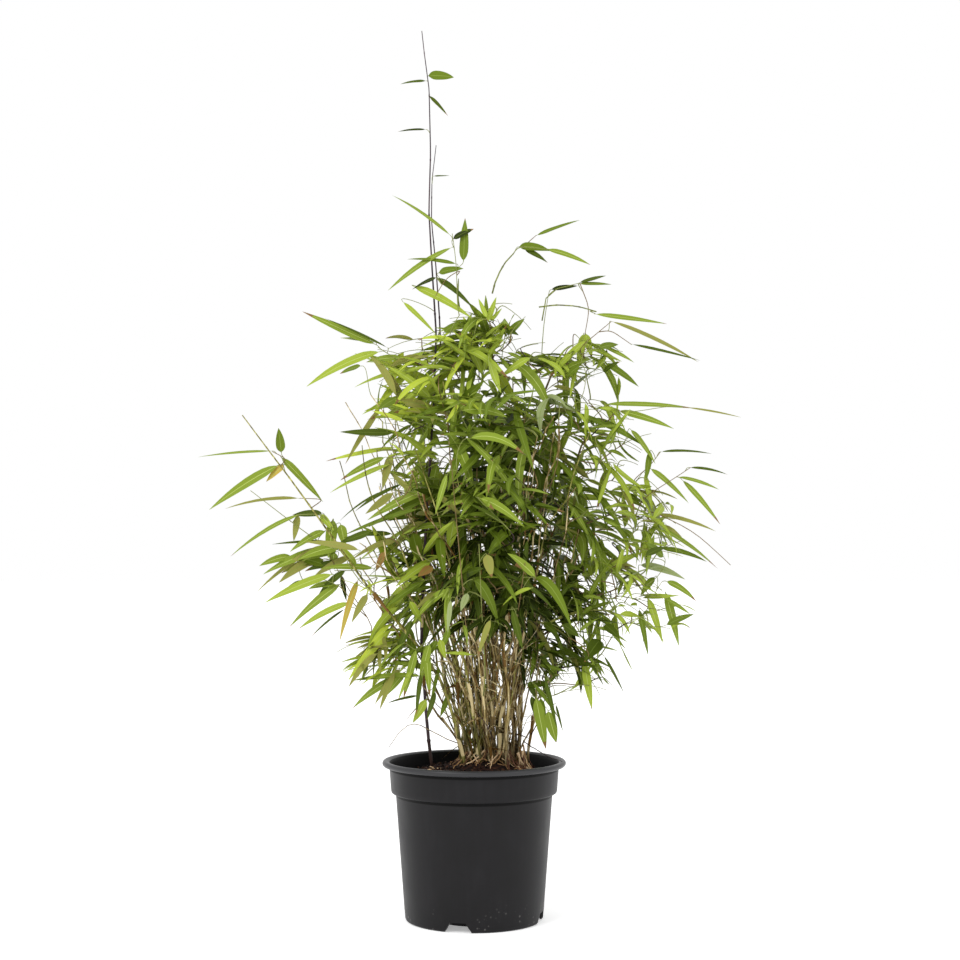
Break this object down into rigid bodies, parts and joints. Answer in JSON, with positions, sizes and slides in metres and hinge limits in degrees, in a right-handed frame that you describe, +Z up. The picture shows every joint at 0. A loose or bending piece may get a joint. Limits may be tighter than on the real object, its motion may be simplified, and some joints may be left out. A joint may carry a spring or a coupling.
{
  "type": "potted bamboo",
  "caption": "Clump-forming bamboo in a round black nursery pot: thin culms fan out of the compost into a loose crown of narrow leaves, with a tall dark culm standing clear above it.",
  "frame": {"origin": "centre of the pot's flat underside, on the surface that it stands on", "axes": "+Z up along the pot's axis; -Y is the plant's show side; +X is to the right as seen from that side"},
  "size_m": [0.5759, 0.3663, 0.9221],
  "materials": {
    "pot_plastic": "satin",
    "compost": "matte",
    "culm": "satin",
    "dark_culm": "satin",
    "leaves": "satin"
  },
  "bodies": {
    "root": {"arching_leaves": "leaves", "arching_stem": "culm", "back_skirt": "leaves", "back_spray_left": "leaves", "back_spray_right": "leaves", "crown_top": "leaves", "crown_top_left": "leaves", "crown_top_right": "leaves", "culm_01": "culm", "culm_02": "culm", "culm_03": "culm", "culm_04": "culm", "culm_05": "culm", "culm_06": "culm", "culm_07": "culm", "culm_08": "culm", "culm_09": "culm", "culm_10": "culm", "culm_11": "culm", "culm_12": "culm", "culm_13": "culm", "culm_14": "culm", "high_right_leaves": "leaves", "high_right_stem": "culm", "left_leaning_culm": "culm", "left_low_leaves": "leaves", "left_middle_leaves": "leaves", "left_shoulder": "leaves", "left_skirt": "leaves", "left_spray_high": "leaves", "left_spray_low": "leaves", "left_spray_middle": "leaves", "lower_back": "leaves", "lower_front": "leaves", "lower_left": "leaves", "lower_middle": "leaves", "lower_right": "leaves", "middle_back_left": "leaves", "middle_back_right": "leaves", "middle_front": "leaves", "middle_left": "leaves", "middle_right": "leaves", "pot": "pot_plastic", "right_hanging_leaves": "leaves", "right_long_leaves": "leaves", "right_low_leaves": "leaves", "right_shoulder": "leaves", "right_side_leaves": "leaves", "right_skirt": "leaves", "shoulder_stem": "culm", "soil": "compost", "tall_culm": "dark_culm", "tall_side_shoot": "dark_culm", "tip_leaves": "leaves", "tuft": "leaves", "tuft_stem": "culm", "upper_back": "leaves", "upper_front": "leaves", "upper_left": "leaves", "upper_right": "leaves"}
  },
  "joints": []
}
